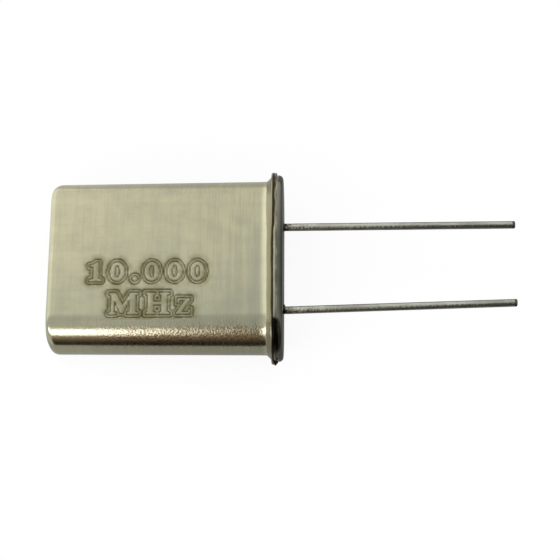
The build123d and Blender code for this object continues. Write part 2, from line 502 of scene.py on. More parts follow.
def streaks_group():
    """Fine drawn lines: noise stretched along a direction, with a coarser and a finer share."""
    name = "Drawn streaks"
    if name not in bpy.data.node_groups:
        inputs = {"Coordinates": VECTOR, "Lines": VECTOR, "Breakup": FLOAT}
        group, (place, lines, breakup), result = effect_group(name, inputs, ("Streaks",))
        product = add_node(group, "ShaderNodeVectorMath")
        product.operation = "MULTIPLY"
        fill(product.inputs[0], place)
        fill(product.inputs[1], lines)
        stretched = Output(product.outputs[0])
        coarse = noise(group, Vector=stretched, Scale=0.35, Detail=3.0)
        fine = noise(group, Vector=stretched, Scale=1.6, Detail=4.0)
        patches = noise(group, Vector=place, Scale=0.8, Detail=2.0)
        fill(result["Streaks"], coarse * 0.55 + fine * 0.45 + (patches - 0.5) * breakup)
    return bpy.data.node_groups[name]


def clouds_group():
    """Soft blotches of tarnish, and fine grain, each from 0 to 1."""
    name = "Tarnish and grain"
    if name not in bpy.data.node_groups:
        inputs = {"Coordinates": VECTOR, "Blotch size": FLOAT, "Grain size": FLOAT}
        group, (place, *sizes), result = effect_group(name, inputs, ("Blotches", "Grain"))
        blotch_scale, grain_scale = [maths("DIVIDE", 1.0, size) for size in sizes]
        blotches = noise(group, Vector=place, Scale=blotch_scale, Detail=4.0, Roughness=0.6)
        fill(result["Blotches"], blotches.ramp(0.32, 0.68))
        fill(result["Grain"], noise(group, Vector=place, Scale=grain_scale, Detail=2.0))
    return bpy.data.node_groups[name]


def new_material(name):
    """Material with only its Principled shader, in place of any other of that name."""
    if name in bpy.data.materials:
        bpy.data.materials.remove(bpy.data.materials[name])
    material = bpy.data.materials.new(name)
    material.use_nodes = True
    return material


class Finish:
    """A material over the seat's coordinates in millimetres, with the shared effects in its own values."""

    def __init__(self, name):
        self.material = new_material(name)
        self.tree = self.material.node_tree
        self.shader = self.tree.nodes["Principled BSDF"].inputs
        mapping = add_node(self.tree, "ShaderNodeMapping", Vector=coordinates(self.tree, "Object"),
                           Location=seat_place.translation, Rotation=seat_turn.to_euler(), Scale=(MM, MM, MM))
        mapping.vector_type = "TEXTURE"
        self.place = Output(mapping.outputs["Vector"])

    def effect(self, group, **inputs):
        node = add_node(self.tree, "ShaderNodeGroup")
        node.node_tree = group
        for key, term in {"Coordinates": self.place, **inputs}.items():
            fill(node.inputs[key.replace("_", " ")], term)
        return all_outputs(node)

    def streaks(self, lines, breakup):
        return self.effect(streaks_group(), Lines=lines, Breakup=breakup)[0]

    def clouds(self, blotch_size, grain_size):
        return self.effect(clouds_group(), Blotch_size=blotch_size, Grain_size=grain_size)

    def attribute(self, name):
        node = add_node(self.tree, "ShaderNodeAttribute")
        node.attribute_name = name
        return Output(node.outputs["Fac"])

    def complete(self, shade, roughness, relief, relief_depth, metallic=1.0):
        """Fills the shader, with a relief over a depth in millimetres, and returns the material."""
        bump = add_node(self.tree, "ShaderNodeBump", Height=relief, Strength=1.0, Distance=relief_depth * MM)
        fill(self.shader["Base Color"], shade)
        fill(self.shader["Roughness"], roughness)
        fill(self.shader["Metallic"], metallic)
        fill(self.shader["Normal"], Output(bump.outputs["Normal"]))
        return self.material


# Finishes, with places in millimetres from the seat face


def uneven(place, blotches, reach):
    """A place shifted to and fro, for the uneven edge of a tint."""
    return place + (blotches - 0.5) * reach


def black_stretch(y, z, blotches):
    """Stretch of the front end that the weld burnt black, with an uneven edge."""
    y = uneven(y, blotches, 0.3)
    return y.ramp(-3.55, -3.85) * y.ramp(-5.35, -5.0, 0.35, 1.0) * z.ramp(-0.6, 0.2, 0.4, 1.0)


def burnt_shade(y, z, blotches):
    """Olive burn of the weld, black at its front end."""
    finishes = bpy.context.scene.crystal_finishes
    return black_stretch(y, z, blotches).blend(finishes.weld, finishes.weld_end)


def can_finish():
    """Satin nickel with faint lines across the can, greyer patches, dull engraved letters, painted shade and
    highlights.
    """
    finishes = bpy.context.scene.crystal_finishes
    nickel = Finish("can_satin_nickel")
    x, y, z = nickel.place.split()
    streaks = nickel.streaks((11.0, 0.5, 0.5), 0.3)
    rubbed = nickel.streaks((0.7, 9.0, 0.7), 0.6)
    blotches, grain = nickel.clouds(3.4, 0.05)
    stains = nickel.clouds(0.7, 0.2)[0]
    pebbles = nickel.clouds(1.0, 0.115)[1]
    grainy_run = (-11.5, -8.0)

    # Grey patches, partly real blotches and partly painted shade: greyer towards the face's front edge and
    # towards the flange.
    grey_patches_and_painted_shade = blotches * 0.25 + y.ramp(1.5, -3.2, 0.0, 0.6) + x.ramp(-12.0, -5.0, -0.15, 0.09)
    shade = grey_patches_and_painted_shade.blend(finishes.can_warm, finishes.can_grey_and_painted_shade)
    lines = streaks.ramp(0.4, 0.66) * x.ramp(-9.0, -2.0, 0.25, 0.45)
    shade = lines.blend(shade, finishes.can_lines)
    worn = rubbed.ramp(0.4, 0.68) * 0.18 + (stains + grain) * 0.14
    shade = worn.blend(shade, finishes.can_worn)
    # Brown specks of grain, partly painted reflection: kept to the band of the front round side where the
    # highlight lies.
    front_side = y.ramp(-3.85, -4.15) * y.ramp(-4.98, -4.8, 0.15, 1.0)
    specks = pebbles.ramp(0.55, 0.41) * x.ramp(*grainy_run, 0.15, 0.7) * front_side
    shade = specks.blend(shade, finishes.can_specks_and_painted_reflection)

    height = uneven(x, blotches, 0.06)
    # Painted shade: a darker run on the rear half just above the bend, set beside the painted highlight of the
    # bend.
    before_bend = height.ramp(-2.0, -1.5) * height.ramp(-1.2, -1.35) * y.ramp(2.5, 0.8, 0.0, 0.45)
    shade = before_bend.blend(shade, finishes.can_painted_shade_before_bend)
    # Painted highlight along the soft bend into the flare.
    shade = height.ramp(-1.18, -0.97, 0.0, 0.35).blend(shade, finishes.can_painted_bend_highlight)
    shade = height.ramp(-0.94, -0.88).blend(shade, finishes.can_flange)
    seam = height + y.ramp(0.5, 3.0, 0.0, -0.1) + y.ramp(-3.2, -3.7, 0.0, -0.045)
    shade = seam.ramp(-0.68, -0.63).blend(shade, burnt_shade(y, z, blotches))

    halo = nickel.attribute("marking_halo")
    smoke = grain.ramp(0.2, 0.7, 0.7, 1.0) * stains.ramp(0.1, 0.9, 0.25, 1.0)
    shade = (halo * smoke).blend(shade, finishes.halo)
    cut = nickel.attribute("marking_line") * grain.ramp(0.3, 0.6, 1.0, 0.8)
    shade = cut.blend(shade, finishes.engraved)

    from_middle = maths("ABSOLUTE", y)
    above = y.ramp(-4.75, -4.5, 0.25, 1.0)
    rough = streaks.ramp(0.3, 0.7, 0.13, 0.21) + halo * 0.12 + from_middle.ramp(3.1, 3.7, 0.0, 0.01) * above
    side = from_middle.ramp(3.1, 3.8, 0.06, 0.95) * above * x.ramp(*grainy_run, 0.35, 0.9)
    return nickel.complete(shade, rough, streaks * 0.25 + pebbles * side, 0.013)


def base_finish():
    """Tarnished nickel: a lighter flange rim and a dark body, with blotches."""
    finishes = bpy.context.scene.crystal_finishes
    flange_foot = -Millimetres(bpy.context.scene.crystal_base).body_height
    nickel = Finish("base_tarnished_nickel")
    x, y, z = nickel.place.split()
    blotches, grain = nickel.clouds(1.1, 0.06)
    body = (blotches * 0.5).blend(finishes.base_body, finishes.base_dark)
    body = y.ramp(0.5, 3.5).blend(body, finishes.base_bright)
    body = y.ramp(-3.0, -4.0).blend(body, finishes.base_bright)
    body = x.ramp(-0.03, -0.01, 0.0, 0.8).blend(body, finishes.base_rim)
    height = uneven(x, blotches, 0.06)
    seam = height + y.ramp(0.5, 3.0, 0.0, -0.1)
    rim = (blotches * 0.4).blend(finishes.base_rim, finishes.base_body)
    rim = y.ramp(0.0, -3.0, 0.0, 0.4).blend(rim, finishes.base_body)
    rim = seam.ramp(-0.50, -0.54).blend(rim, finishes.weld)
    shade = height.ramp(flange_foot - 0.03, flange_foot + 0.05).blend(rim, body)
    scaled = black_stretch(y, z, blotches) * height.ramp(-0.21, -0.28)
    shade = scaled.blend(shade, finishes.weld_end)
    return nickel.complete(shade, blotches.ramp(0.0, 1.0, 0.12, 0.24), grain, 0.003)


def weld_finish():
    """Burnt, grainy metal squeezed out of the weld."""
    black = bpy.context.scene.crystal_finishes.weld_end
    burnt = Finish("weld_burnt_metal")
    _, y, z = burnt.place.split()
    blotches, grain = burnt.clouds(0.5, 0.05)
    shade = (blotches * 0.4).blend(burnt_shade(y, z, blotches), black)
    return burnt.complete(shade, grain.ramp(0.3, 0.7, 0.3, 0.5), grain, 0.012)


def lead_finish():
    """Tinned wire with dull streaks along it, small pits, and dark scale and lumps at its root."""
    finishes = bpy.context.scene.crystal_finishes
    tin = Finish("lead_tinned_wire")
    x = tin.place.split()[0]
    streaks = tin.streaks((0.9, 9.0, 9.0), 0.5)
    blotches, pits = tin.clouds(0.7, 0.04)
    patches, lumps = tin.clouds(0.3, 0.16)
    dull = (streaks + blotches * 0.15).ramp(0.4, 0.75)
    shade = dull.blend(finishes.tin, finishes.tin_dull)
    shade = (x - patches * 0.45).ramp(0.12, -0.1).blend(shade, finishes.root)
    relief = streaks + pits * 0.3 + lumps * x.ramp(2.2, 0.3, 2.0, 14.0)
    return tin.complete(shade, dull.ramp(0.0, 1.0, 0.09, 0.17), relief, 0.004)


def streaked_finish(name, lines, breakup, colours, roughness, relief_depth):
    """Metal whose two colours, roughness and relief follow drawn streaks."""
    metal = Finish(name)
    streaks = metal.streaks(lines, breakup)
    shade = streaks.ramp(0.35, 0.65).blend(*colours)
    return metal.complete(shade, streaks.ramp(0.3, 0.7, *roughness), streaks, relief_depth)


def blotched_finish(name, sizes, colours, roughness, relief_depth, metallic=(1.0, 1.0)):
    """Finish whose two colours follow soft blotches, and whose other values follow a fine grain."""
    finish = Finish(name)
    blotches, grain = finish.clouds(*sizes)
    low, high = metallic
    metal = low if low == high else grain.ramp(0.4, 0.7, low, high)
    shade = blotches.blend(*colours)
    return finish.complete(shade, grain.ramp(0.3, 0.7, *roughness), grain, relief_depth, metal)


def sheared_finish():
    """Bare cut steel of the leads' tips, with shear marks."""
    colours = (bpy.context.scene.crystal_finishes.sheared, (0.17, 0.165, 0.15))
    return streaked_finish("lead_sheared_steel", (5.0, 30.0, 4.0), 0.3, colours, (0.3, 0.5), 0.01)


def glass_finish():
    """Black sealing glass with faint seeds and flow."""
    colours = ((0.006, 0.007, 0.007), (0.018, 0.02, 0.02))
    return blotched_finish("bead_black_glass", (0.5, 0.08), colours, (0.12, 0.24), 0.004, (0.0, 0.0))


def strip_finish():
    """Rolled nickel strip of the clips, with rolling lines."""
    colours = ((0.62, 0.60, 0.55), (0.50, 0.48, 0.43))
    return streaked_finish("clip_rolled_nickel", (0.6, 0.6, 16.0), 0.2, colours, (0.22, 0.36), 0.003)


def quartz_finish():
    """Lapped quartz, slightly frosted."""
    colours = ((0.90, 0.92, 0.92), (0.84, 0.87, 0.87))
    quartz = blotched_finish("blank_lapped_quartz", (2.0, 0.03), colours, (0.22, 0.38), 0.002, (0.0, 0.0))
    shader = quartz.node_tree.nodes["Principled BSDF"].inputs
    shader["Transmission Weight"].default_value = 0.8
    shader["IOR"].default_value = 1.54
    return quartz


def film_finish():
    """Evaporated silver film over the lapped quartz."""
    colours = ((0.87, 0.86, 0.83), (0.80, 0.78, 0.73))
    return blotched_finish("electrode_silver_film", (1.6, 0.03), colours, (0.18, 0.3), 0.002)


def cement_finish():
    """Grey cement full of silver flakes."""
    colours = ((0.56, 0.56, 0.55), (0.46, 0.46, 0.45))
    return blotched_finish("cement_silver_filled", (0.3, 0.03), colours, (0.6, 0.35), 0.01, (0.0, 0.8))


# Engraved letters: outlines in shares of each letter's width and height, from its lower left corner

SLAB_ONE_SHARES = ((0, 0), (1, 0), (1, 0.13), (0.76, 0.17), (0.76, 1), (0.56, 1), (0.36, 0.9), (0.02, 0.85),
                   (0.02, 0.72), (0.3, 0.72), (0.3, 0.17), (0, 0.13))
SLAB_H_SHARES = ((0, 0), (0.44, 0), (0.44, 0.12), (0.36, 0.15), (0.36, 0.42), (0.64, 0.42), (0.64, 0.15),
                 (0.56, 0.12), (0.56, 0), (1, 0), (1, 0.12), (0.92, 0.15), (0.92, 0.85), (1, 0.88), (1, 1),
                 (0.56, 1), (0.56, 0.88), (0.64, 0.85), (0.64, 0.6), (0.36, 0.6), (0.36, 0.85),
                 (0.44, 0.88), (0.44, 1), (0, 1), (0, 0.88), (0.08, 0.85), (0.08, 0.15), (0, 0.12))
SLAB_M_SHARES = ((0, 0), (0.28, 0), (0.28, 0.12), (0.21, 0.15), (0.21, 0.6), (0.4, 0.06), (0.5, 0.06),
                 (0.68, 0.6), (0.68, 0.15), (0.6, 0.12), (0.6, 0), (1, 0), (1, 0.12), (0.92, 0.15),
                 (0.92, 0.85), (1, 0.88), (1, 1), (0.7, 1), (0.48, 0.48), (0.27, 1), (0, 1), (0, 0.88),
                 (0.08, 0.85), (0.08, 0.15), (0, 0.12))
SLAB_Z_SHARES = ((0, 0), (1, 0), (1, 0.36), (0.86, 0.36), (0.78, 0.17), (0.44, 0.17), (0.97, 0.86),
                 (0.97, 1), (0.05, 1), (0.05, 0.64), (0.19, 0.64), (0.26, 0.83), (0.54, 0.83), (0, 0.14))


def ellipse_shares(width_share, height_share, steps=48):
    """Ellipse about the middle of a letter's box."""
    turns = [2 * pi * step / steps for step in range(steps)]
    return tuple((0.5 + width_share / 2 * cos(turn), 0.5 + height_share / 2 * sin(turn)) for turn in turns)


# Each letter's outlines, and its width, height and advance as shares of the line's height
LETTERS = {
    "1": ((SLAB_ONE_SHARES,), 0.6, 1.0, 0.95),
    "0": ((ellipse_shares(1, 1), ellipse_shares(0.27, 0.56)), 0.75, 1.0, 1.075),
    ".": ((ellipse_shares(1, 1),), 0.28, 0.28, 0.56),
    "M": ((SLAB_M_SHARES,), 1.27, 1.0, 1.545),
    "H": ((SLAB_H_SHARES,), 1.03, 1.0, 1.295),
    "z": ((SLAB_Z_SHARES,), 0.62, 0.74, 0.8),
}


def letter_outlines(text, start, height):
    """Closed outlines of a line of letters, in millimetres on the can's face."""
    outlines = []
    x = start[0]
    for letter in text:
        shapes, width_share, height_share, advance_share = LETTERS[letter]
        size = np.array((width_share, height_share)) * height
        outlines += [np.array(shape) * size + (x, start[1]) for shape in shapes]
        x += advance_share * height
    return outlines


def distance_to_letters(points, outlines):
    """Distance of each point from the letters' outlines, negative inside a letter."""
    nearest = np.full(len(points), np.inf)
    inside = np.zeros(len(points), dtype=bool)
    for outline in outlines:
        for start, end in zip(outline, np.roll(outline, -1, axis=0)):
            run = end - start
            offset = points - start
            share = np.clip(offset @ run / (run @ run), 0, 1)
            nearest = np.minimum(nearest, np.linalg.norm(offset - share[:, None] * run, axis=1))
            if start[1] != end[1]:
                crosses = (start[1] > points[:, 1]) != (end[1] > points[:, 1])
                reach = start[0] + (points[:, 1] - start[1]) * run[0] / run[1]
                inside ^= crosses & (points[:, 0] < reach)
    return np.where(inside, -nearest, nearest)


# Profiles of the can, in millimetres


def wall_reach(can, height, radius):
    """Radius of the drafted wall at a height, from its radius at the seam."""
    return radius - (height - can.seam_height) * tan(can.draft)


def closed_end(can, height, radius, end_radius):
    """Points of the closed end's round edge, as (height, radius)."""
    middle = height - end_radius
    centre = (middle, wall_reach(can, middle, radius) - end_radius / cos(can.draft))
    return bend(centre, end_radius, pi / 2, can.draft, FACETS["end"])


def flare(can, ease_angle):
    """Points of the soft bend and the cone that lead the wall out to the flange, as (height, radius)."""
    start = can.flange_top + can.flare_reach
    rise = can.flare_ease * tan(ease_angle) / 2
    points = []
    for step in range(FACETS["ease"]):
        share = step / FACETS["ease"]
        place = start + (1 - share) * can.flare_ease
        points.append((place, wall_reach(can, place, can.radius) + share**2 * rise))
    crease = (start, wall_reach(can, start, can.radius) + rise)
    foot = (can.flange_top, crease[1] + can.flare_reach)
    rim = (can.flange_top, can.flange_radius)
    points += rounded_corner(points[-1], crease, foot, can.crease_radius, FACETS["crease"])
    return points + rounded_corner(crease, foot, rim, can.crease_radius, FACETS["crease"])


def can_profile(can, rows):
    """Closed end to seam outside, then seam to closed end inside, as (height, radius)."""
    rim = can.flange_radius - can.rim_radius
    outside = [(can.height, 0)] + closed_end(can, can.height, can.radius, can.face_edge_radius)
    outside += [(row, wall_reach(can, row, can.radius)) for row in rows]
    outside += flare(can, can.ease_angle)
    outside += bend((can.flange_top - can.rim_radius, rim), can.rim_radius, pi / 2, 0, FACETS["rim"])
    outside += bend((can.seam_height + can.rim_radius, rim), can.rim_radius, 0, -pi / 2, FACETS["rim"])
    mouth = can.radius - can.wall
    lip = can.seam_height + can.flare_reach
    inside = [(can.seam_height, mouth + can.flare_reach), (lip, wall_reach(can, lip, mouth))]
    top = can.height - can.wall
    inside += reversed([(top, 0)] + closed_end(can, top, mouth, can.end_radius - can.wall))
    return outside + inside


def nearest_axis(place, spread):
    """Foot of a place on the line between the axes of the two round sides."""
    return Vector((place.x, min(max(place.y, -spread), spread), 0))


# Operators, one for each piece or group of like pieces, and one for the stage


class CRYSTAL_OT_can(bpy.types.Operator):
    """Drawn can with its flange, and the frequency engraved on its upper face"""
    bl_idname = "crystal.can"
    bl_label = "Can"

    def execute(self, context):
        can = can_sizes(context.scene)
        marking = Millimetres(context.scene.crystal_marking)
        outlines = letter_outlines(marking.number, marking.number_start, marking.number_height)
        outlines += letter_outlines(marking.unit, marking.unit_start, marking.unit_height)
        corners = np.concatenate(outlines)
        reach = marking.line_offset + marking.halo_reach
        near, far = corners[:, 0].max() + reach, corners[:, 0].min() - reach
        upper = corners[:, 1].max() + reach
        margin = EDGE_SHARE * can.spread
        flare_top = can.flange_top + can.flare_reach + can.flare_ease
        rows = (can.height - can.end_radius - margin, -far, -near, flare_top + margin)
        top_stops = (upper, can.spread - margin)
        piece = obround("can_shell", can_profile(can, rows), can.spread, can.round_steps, top_stops)
        self.vary_bends(piece, can)
        self.engrave(piece, can, marking, near, far, upper, outlines)
        set_in_place(piece, smooth_angle=50, node="can", materials=[can_finish()])
        return {"FINISHED"}

    def vary_bends(self, piece, can):
        """Widens the closed end's round edge, and tightens the bend into the flare, at the round sides."""
        near_enough = 1e-3

        def round_edge(turn):
            radius = can.face_edge_radius + turn**2 * (can.end_radius - can.face_edge_radius)
            return closed_end(can, can.height, can.radius, radius)

        def bend_out(turn):
            return flare(can, can.ease_angle * (1 - can.side_tightness * turn**2))

        for form in (round_edge, bend_out):
            swept = np.array(form(0))
            for vertex in piece.data.vertices:
                middle = nearest_axis(vertex.co, can.spread)
                out = vertex.co - middle
                gaps = np.abs(swept - (-vertex.co.x, out.length)).max(axis=1)
                if gaps.min() < near_enough:
                    height, reach = form((out.y / out.length) ** 2)[int(gaps.argmin())]
                    vertex.co = Vector((-height, middle.y, 0)) + out.normalized() * reach

    def engrave(self, piece, can, marking, near, far, upper, outlines):
        """Divides the marked part of the face finely, and sinks the letters' lines into it."""
        slack = 1e-3
        wrapped_facets = 4
        wrap = radians(180 / can.round_steps) * wrapped_facets
        spread = can.spread
        lower = -spread - can.radius * sin(wrap)

        def in_field(place):
            return far - slack < place.x < near + slack and lower - slack < place.y < upper + slack

        def on_top(element):
            return all(in_field(v.co) and v.co.z > 0 and v.normal.z > 0.5 for v in element.verts)

        def runs_along(edge):
            return abs(edge.verts[0].co.x - edge.verts[1].co.x) > slack

        def on_flat(edge):
            return not runs_along(edge) and min(v.co.y for v in edge.verts) > -spread - slack

        def on_round(edge):
            return not runs_along(edge) and max(v.co.y for v in edge.verts) < -spread + slack

        edit_mesh(piece)
        facet = can.radius * wrap / wrapped_facets
        for test, span in ((on_flat, upper + spread), (on_round, facet), (runs_along, near - far)):
            select_only(piece, "edges", lambda edge: on_top(edge) and test(edge))
            bpy.ops.mesh.subdivide(number_cuts=max(1, round(span / marking.cell) - 1))
        bpy.ops.object.mode_set(mode="OBJECT")

        count = len(piece.data.vertices)
        places = np.empty(count * 3, dtype=np.float32)
        piece.data.vertices.foreach_get("co", places)
        places = places.reshape(-1, 3).astype(float)
        inner = can.radius - can.wall / 2
        field = (places[:, 0] > far - slack) & (places[:, 0] < near + slack) & (places[:, 1] < upper + slack)
        field &= (places[:, 1] > lower - slack) & (places[:, 2] > 0)
        depth_below = np.hypot(np.minimum(places[:, 1] + spread, 0), places[:, 2])
        field &= depth_below > inner - (-places[:, 0] - can.seam_height) * tan(can.draft)
        chosen = np.flatnonzero(field)
        turn = np.arctan2(np.maximum(-spread - places[chosen, 1], 0), places[chosen, 2])
        down = np.maximum(places[chosen, 1], -spread) - can.radius * turn
        laid_out = np.column_stack((places[chosen, 0], down))

        def waves(first, second, shift=0.0):
            return np.sin(laid_out @ first) * np.sin(laid_out @ second + shift)

        gap = distance_to_letters(laid_out, outlines)
        gap += marking.line_wobble * waves((5.0, 8.0), (7.0, -4.0), 1.0)
        half = marking.line_width / 2
        line = np.maximum(np.exp(-((gap / half) ** 4)), np.exp(-(((gap - marking.line_offset) / half) ** 4)))
        mean_pressure, pressure_swing = 0.92, 0.25
        line *= np.clip(mean_pressure + pressure_swing * waves((9.0, -6.0), (4.0, 11.0)), 0, 1)
        fade = np.clip((gap - marking.line_offset) / marking.halo_reach, 0, 1)
        halo_inside, halo_outside, halo_fall = 0.62, 0.9, 1.3
        halo = np.where(gap < 0, halo_inside, halo_outside * (1 - fade) ** halo_fall)
        for name, amounts in (("marking_line", line), ("marking_halo", halo)):
            whole = np.zeros(count, dtype=np.float32)
            whole[chosen] = amounts
            piece.data.attributes.new(name, "FLOAT", "POINT").data.foreach_set("value", whole)
        engraving = piece.vertex_groups.new(name="engraving")
        for index, weight in zip(chosen.tolist(), line.tolist()):
            if weight > 0.01:
                engraving.add([index], weight, "REPLACE")
        apply_modifier(piece, "DISPLACE", strength=-marking.line_depth, mid_level=0.0,
                       vertex_group=engraving.name)
        piece.vertex_groups.clear()


class CRYSTAL_OT_base(bpy.types.Operator):
    """Coined base with its flange, its step inside the can and the holes of its two seals"""
    bl_idname = "crystal.base"
    bl_label = "Base"

    def execute(self, context):
        can = can_sizes(context.scene)
        base = Millimetres(context.scene.crystal_base)
        body_radius = can.flange_radius - base.inset
        step_radius = can.radius - can.wall - base.step_clearance
        step_top = can.seam_height + base.step_height
        rim = can.flange_radius - can.rim_radius
        profile = [(0, 0)]
        edge_centre = (base.edge_radius, body_radius - base.edge_radius)
        profile += bend(edge_centre, base.edge_radius, -pi / 2, 0, FACETS["body"])
        profile += [(base.body_height, body_radius)]
        profile += bend((base.body_height + can.rim_radius, rim), can.rim_radius, -pi / 2, 0, FACETS["rim"])
        profile += bend((can.seam_height - can.rim_radius, rim), can.rim_radius, 0, pi / 2, FACETS["rim"])
        profile += [(can.seam_height, step_radius), (step_top, step_radius), (step_top, 0)]
        piece = obround("base_plate", profile, can.spread, can.round_steps)
        for side in SIDES.values():
            hole = add_primitive("seal_hole", bpy.ops.mesh.primitive_cylinder_add, vertices=64,
                                 radius=base.bead_diameter / 2, depth=4 * step_top,
                                 location=(0, side * half_pitch, 0), rotation=(0, pi / 2, 0))
            bpy.ops.object.transform_apply(location=True, rotation=True, scale=True)
            apply_modifier(piece, "BOOLEAN", operation="DIFFERENCE", object=hole, solver="EXACT")
            bpy.data.objects.remove(hole)
        set_in_place(piece, smooth_angle=40, node="base", materials=[base_finish()])
        return {"FINISHED"}


class CRYSTAL_OT_weld(bpy.types.Operator):
    """Burnt metal squeezed out between the two flanges, with a drop at the front end"""
    bl_idname = "crystal.weld"
    bl_label = "Weld"

    def execute(self, context):
        can = can_sizes(context.scene)
        ring_radius = can.flange_radius - 0.55 * can.rim_radius
        thick = 0.9 * can.rim_radius
        facets = 8
        profile = bend((can.seam_height, ring_radius), thick, 0, 2 * pi - 2 * pi / facets, facets - 1)
        columns = 60
        stops = [can.spread * (2 * step / columns - 1) for step in range(1, columns)]
        piece = obround("weld_flash", profile, can.spread, steps=96, top_stops=stops, closed=True)
        self.roughen(piece, can, ring_radius)
        set_in_place(piece, smooth_angle=60, materials=[weld_finish()])
        return {"FINISHED"}

    def roughen(self, piece, can, ring_radius):
        """Makes the ring uneven, flat where the part lies on it, and draws out a drop where it ended."""
        lumps = bpy.data.textures.new("weld_lumps", "CLOUDS")
        lumps.noise_scale = 0.22
        apply_modifier(piece, "DISPLACE", texture=lumps, strength=0.7 * can.rim_radius, mid_level=0.45,
                       texture_coords="LOCAL")
        drop_reach = 2.4 * can.rim_radius
        drop_width = 4 * can.rim_radius
        for vertex in piece.data.vertices:
            place = vertex.co
            middle = nearest_axis(place, can.spread)
            way = (place - middle).normalized()
            if place.y < -can.spread:
                share = float(np.exp(-((place.z / drop_width) ** 2)))
                centre = Vector((-can.seam_height, -can.spread, 0)) + way * ring_radius
                offset = place - centre
                outward = max(offset.normalized().dot(way), 0) ** 6
                shift = way * drop_reach * outward * share + Vector((drop_reach * share, 0, 0))
                offset *= 1 + share
                offset.x *= 1 + 0.7 * share
                vertex.co = centre + offset + shift
            if way.z < -0.7:
                vertex.co = middle + way * min((vertex.co - middle).length, can.flange_radius)


class CRYSTAL_OT_leads(bpy.types.Operator):
    """Two tinned leads, straight through their seals and leaning a little outside"""
    bl_idname = "crystal.leads"
    bl_label = "Leads"

    def execute(self, context):
        leads = Millimetres(context.scene.crystal_leads)
        finishes = [lead_finish(), sheared_finish()]
        into_seat = seat_place.inverted()
        for name, side in SIDES.items():
            mount = mounts[f"lead_{name}"]
            middle = into_seat @ Vector(mount["pos_m"]) / MM
            axis = seat_turn.inverted() @ Vector(mount["axis"])
            run = axis * mount["dims"]["length_mm"]
            radius = mount["dims"]["r_mm"]
            start = Vector((-leads.post_height, side * half_pitch, 0))
            aside = Vector((0, min(side, 0) * leads.front_aside, 0))
            foot = Vector((0, start.y, 0))
            stub = Vector((leads.stub, 0, 0))
            stops = [start, foot - 2 * stub, foot + aside, foot + stub + aside, middle - run / 2 + aside]
            stops += [middle + run / 2 - axis * leads.sheared_run, middle + run / 2]
            piece = add_primitive(f"lead_wire_{name}", bpy.ops.mesh.primitive_circle_add, vertices=40,
                                  radius=radius, fill_type="NGON", location=start, rotation=(0, pi / 2, 0))
            bpy.ops.object.transform_apply(location=True, rotation=True, scale=True)
            edit_mesh(piece)
            bpy.ops.mesh.select_all(action="SELECT")
            for near, far in zip(stops, stops[1:]):
                bpy.ops.mesh.extrude_region_move(TRANSFORM_OT_translate={"value": far - near})
            bpy.ops.mesh.extrude_region_move(TRANSFORM_OT_translate={"value": axis * leads.tip_chamfer})
            small = 1 - leads.tip_chamfer / radius
            tip = stops[-1] + axis * leads.tip_chamfer
            bpy.ops.transform.resize(value=(1, small, small), center_override=tip)
            close_up()
            bpy.ops.object.mode_set(mode="OBJECT")
            set_in_place(piece, smooth_angle=30, node=f"lead_{name}", materials=finishes)
            reach = (seat_place @ (stops[-2] * MM)).x
            for face in piece.data.polygons:
                face.material_index = 1 if face.center.x > reach else 0
        return {"FINISHED"}


class CRYSTAL_OT_seals(bpy.types.Operator):
    """Glass beads that seal the leads in the base, each with a meniscus along its lead"""
    bl_idname = "crystal.seals"
    bl_label = "Glass seals"

    def execute(self, context):
        base = Millimetres(context.scene.crystal_base)
        finish = glass_finish()
        step_top = can_sizes(context.scene).seam_height + base.step_height
        bead_radius = base.bead_diameter / 2
        foot = base.meniscus_diameter / 2
        turns = [step * pi / 12 for step in range(7)]
        for name, side in SIDES.items():
            lead_radius = mounts[f"lead_{name}"]["dims"]["r_mm"]
            climb = [(-base.meniscus_height * (1 - sin(turn)), foot - (foot - lead_radius) * cos(turn))
                     for turn in turns]
            profile = climb + [(0, bead_radius), (step_top, bead_radius), (step_top, lead_radius)]
            piece = lathe(f"bead_{name}", profile, (0, side * half_pitch, 0), steps=64)
            set_in_place(piece, smooth_angle=40, node=f"glass_bead_{name}",
                         materials=[finish])
        return {"FINISHED"}


class CRYSTAL_OT_inside(bpy.types.Operator):
    """Finishes of the clips, the blank, its electrodes and the cement inside the can"""
    bl_idname = "crystal.inside"
    bl_label = "Parts inside"

    def execute(self, context):
        finishes = {
            "clip": strip_finish(),
            "quartz": quartz_finish(),
            "electrode": film_finish(),
            "cement": cement_finish(),
        }
        for name, node in frame["nodes"].items():
            finish = finishes.get(name.split("_")[0])
            if finish:
                node.data.materials.clear()
                node.data.materials.append(finish)
        return {"FINISHED"}


